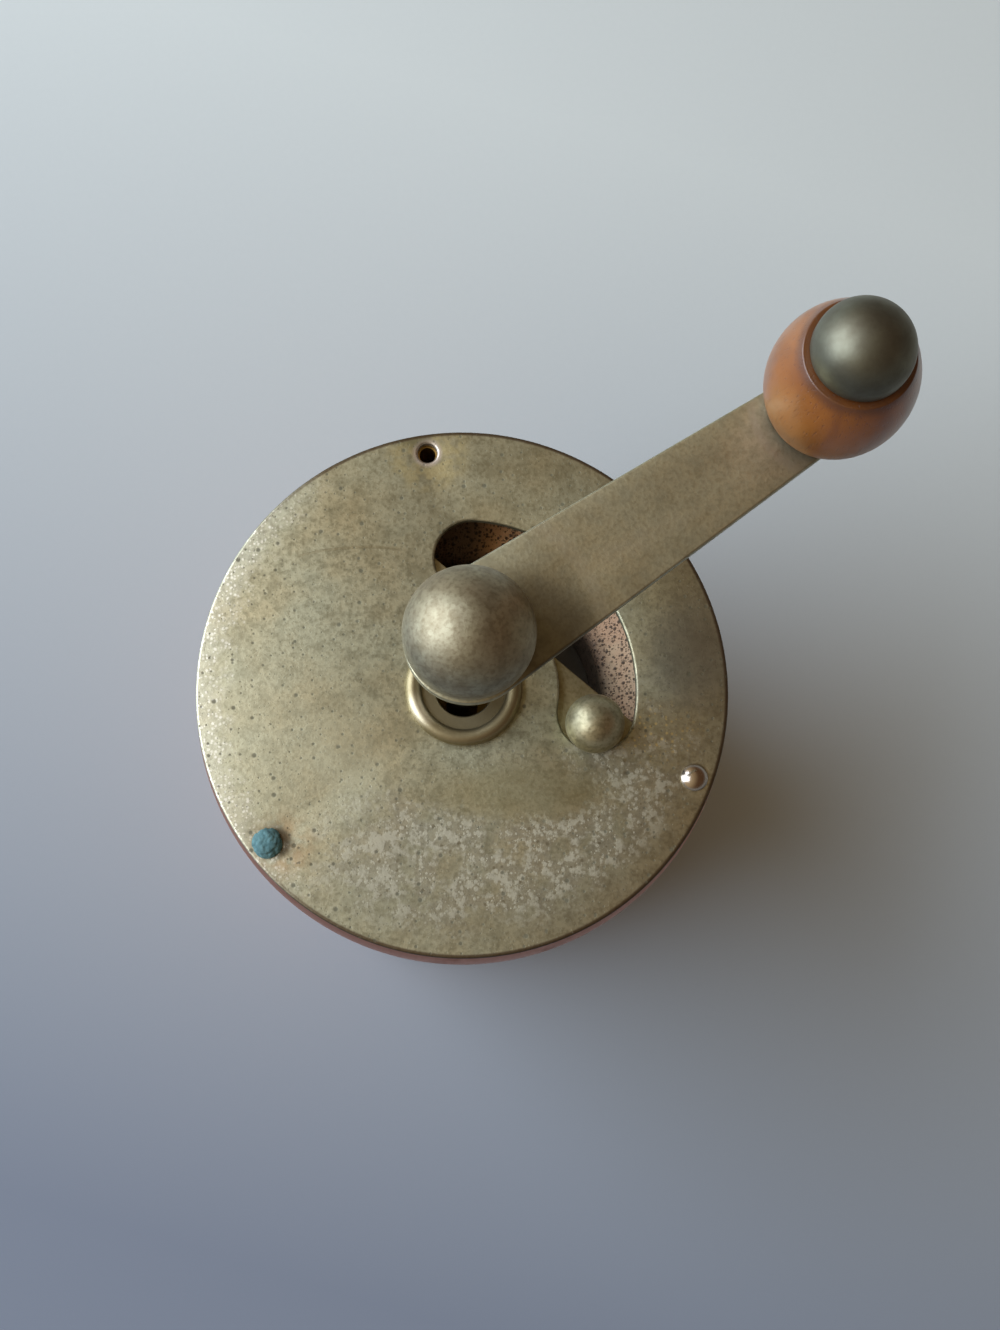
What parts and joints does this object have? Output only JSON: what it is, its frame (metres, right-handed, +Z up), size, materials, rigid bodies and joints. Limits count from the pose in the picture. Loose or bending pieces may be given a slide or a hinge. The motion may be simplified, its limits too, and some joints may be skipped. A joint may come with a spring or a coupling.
{
  "type": "poppy seed mill",
  "caption": "Copper hand mill for poppy seed: lid plate with a shuttered filler slot, tall crank with a wooden knob, conical burrs, and a receiver cup that lifts off.",
  "frame": {"origin": "centre of the receiver cup's flat underside, on the shaft's axis", "axes": "+Z up along the shaft; +X to the right and +Y to the top of the picture, which looks down on the lid plate"},
  "size_m": [0.0976, 0.0844, 0.1701],
  "materials": {
    "body_copper": "satin, tarnished copper sheet",
    "inner_copper": "satin copper sheet",
    "funnel_copper": "dull, speckled copper sheet",
    "plate_nickel": "satin, tarnished nickel plate with pin-prick spots",
    "shutter_nickel": "satin, tarnished nickel plate",
    "knob_nickel": "satin nickel plate",
    "collar_brass": "satin, nickel worn to brass",
    "bright_screw": "polished",
    "corroded_screw": "rough blue-green verdigris",
    "ball_nickel": "satin nickel plate",
    "arm_nickel": "satin, worn nickel plate",
    "dome_steel": "satin, darkened",
    "knob_wood": "lacquered, red-orange stain",
    "shaft_steel": "satin",
    "burr_steel": "rough, ground teeth",
    "inner_steel": "dull",
    "inner_brass": "dull"
  },
  "bodies": {
    "receiver": {"receiver_wall": "body_copper", "receiver_base": "inner_copper", "receiver_neck": "inner_copper"},
    "mill": {"body_shell": "body_copper", "hopper_funnel": "funnel_copper", "screw_lugs": "inner_brass", "top_plate": "plate_nickel", "plate_screw_bright": "bright_screw", "plate_screw_corroded": "corroded_screw", "centre_collar": "collar_brass", "shutter_washer": "inner_brass", "burr_carrier": "inner_steel", "outer_burr": "burr_steel", "burr_screws": "inner_steel", "upper_bridge": "inner_steel", "bridge_bush": "inner_brass", "lower_bridge": "inner_steel", "bridge_screws": "inner_steel"},
    "shutter": {"shutter_disc": "shutter_nickel", "shutter_knob": "knob_nickel"},
    "thrust": {"thrust_ball": "inner_steel"},
    "adjuster": {"adjuster_screw": "inner_brass"},
    "crank": {"shaft": "shaft_steel", "inner_burr": "burr_steel", "burr_pin": "inner_steel", "arm_washer": "inner_steel", "crank_arm": "arm_nickel", "ball_nut": "ball_nickel", "knob_pin": "shaft_steel", "knob_dome": "dome_steel"},
    "knob": {"wood_knob": "knob_wood"}
  },
  "joints": [
    {"name": "mill_lift", "type": "slide", "parent": "receiver", "child": "mill", "axis": [0, 0, 1], "range_m": [0, 0.06]},
    {"name": "shutter_turn", "type": "hinge", "parent": "mill", "child": "shutter", "pos_m": [0, 0, 0.102], "axis": [0, 0, 1], "range_deg": [0, 109]},
    {"name": "burr_lift", "type": "slide", "parent": "mill", "child": "thrust", "axis": [0, 0, 1], "range_m": [0, 0.0008]},
    {"name": "adjuster_turn", "type": "hinge", "parent": "thrust", "child": "adjuster", "pos_m": [0, 0, 0.048], "axis": [0, 0, 1], "range_deg": [0, 360]},
    {"name": "crank_turn", "type": "hinge", "parent": "thrust", "child": "crank", "pos_m": [0, 0, 0.102], "axis": [0, 0, 1], "continuous": true},
    {"name": "knob_spin", "type": "hinge", "parent": "crank", "child": "knob", "pos_m": [0.04601, 0.03139, 0.1535], "axis": [0, 0, 1], "continuous": true}
  ],
  "couplings": [
    {"joint": "adjuster_turn", "follows": "burr_lift", "rad_per_m": 7854}
  ]
}
